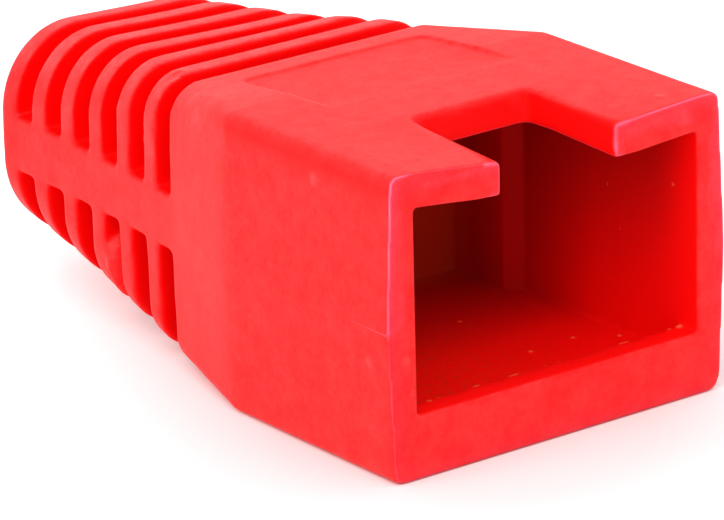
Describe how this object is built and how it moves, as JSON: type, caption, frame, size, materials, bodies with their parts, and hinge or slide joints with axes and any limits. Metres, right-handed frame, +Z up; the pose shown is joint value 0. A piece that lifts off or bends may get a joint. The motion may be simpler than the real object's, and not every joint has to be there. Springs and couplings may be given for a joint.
{
  "type": "modular plug strain relief boot",
  "caption": "Soft moulded boot that slips over a modular network plug, with an open box-shaped mouth, a latch notch and a tapered, slotted tail that lets the cable bend.",
  "frame": {"origin": "middle of the boot's width and length, on the surface that it rests on", "axes": "+X across the boot, +Y along the cable from the open mouth to the cable end, +Z up, through the roof with the latch notch"},
  "size_m": [0.014, 0.0248, 0.0104],
  "materials": {
    "soft_pvc": "satin, finely frosted moulded skin"
  },
  "bodies": {
    "root": {"strain_relief_boot": "soft_pvc"}
  },
  "joints": []
}
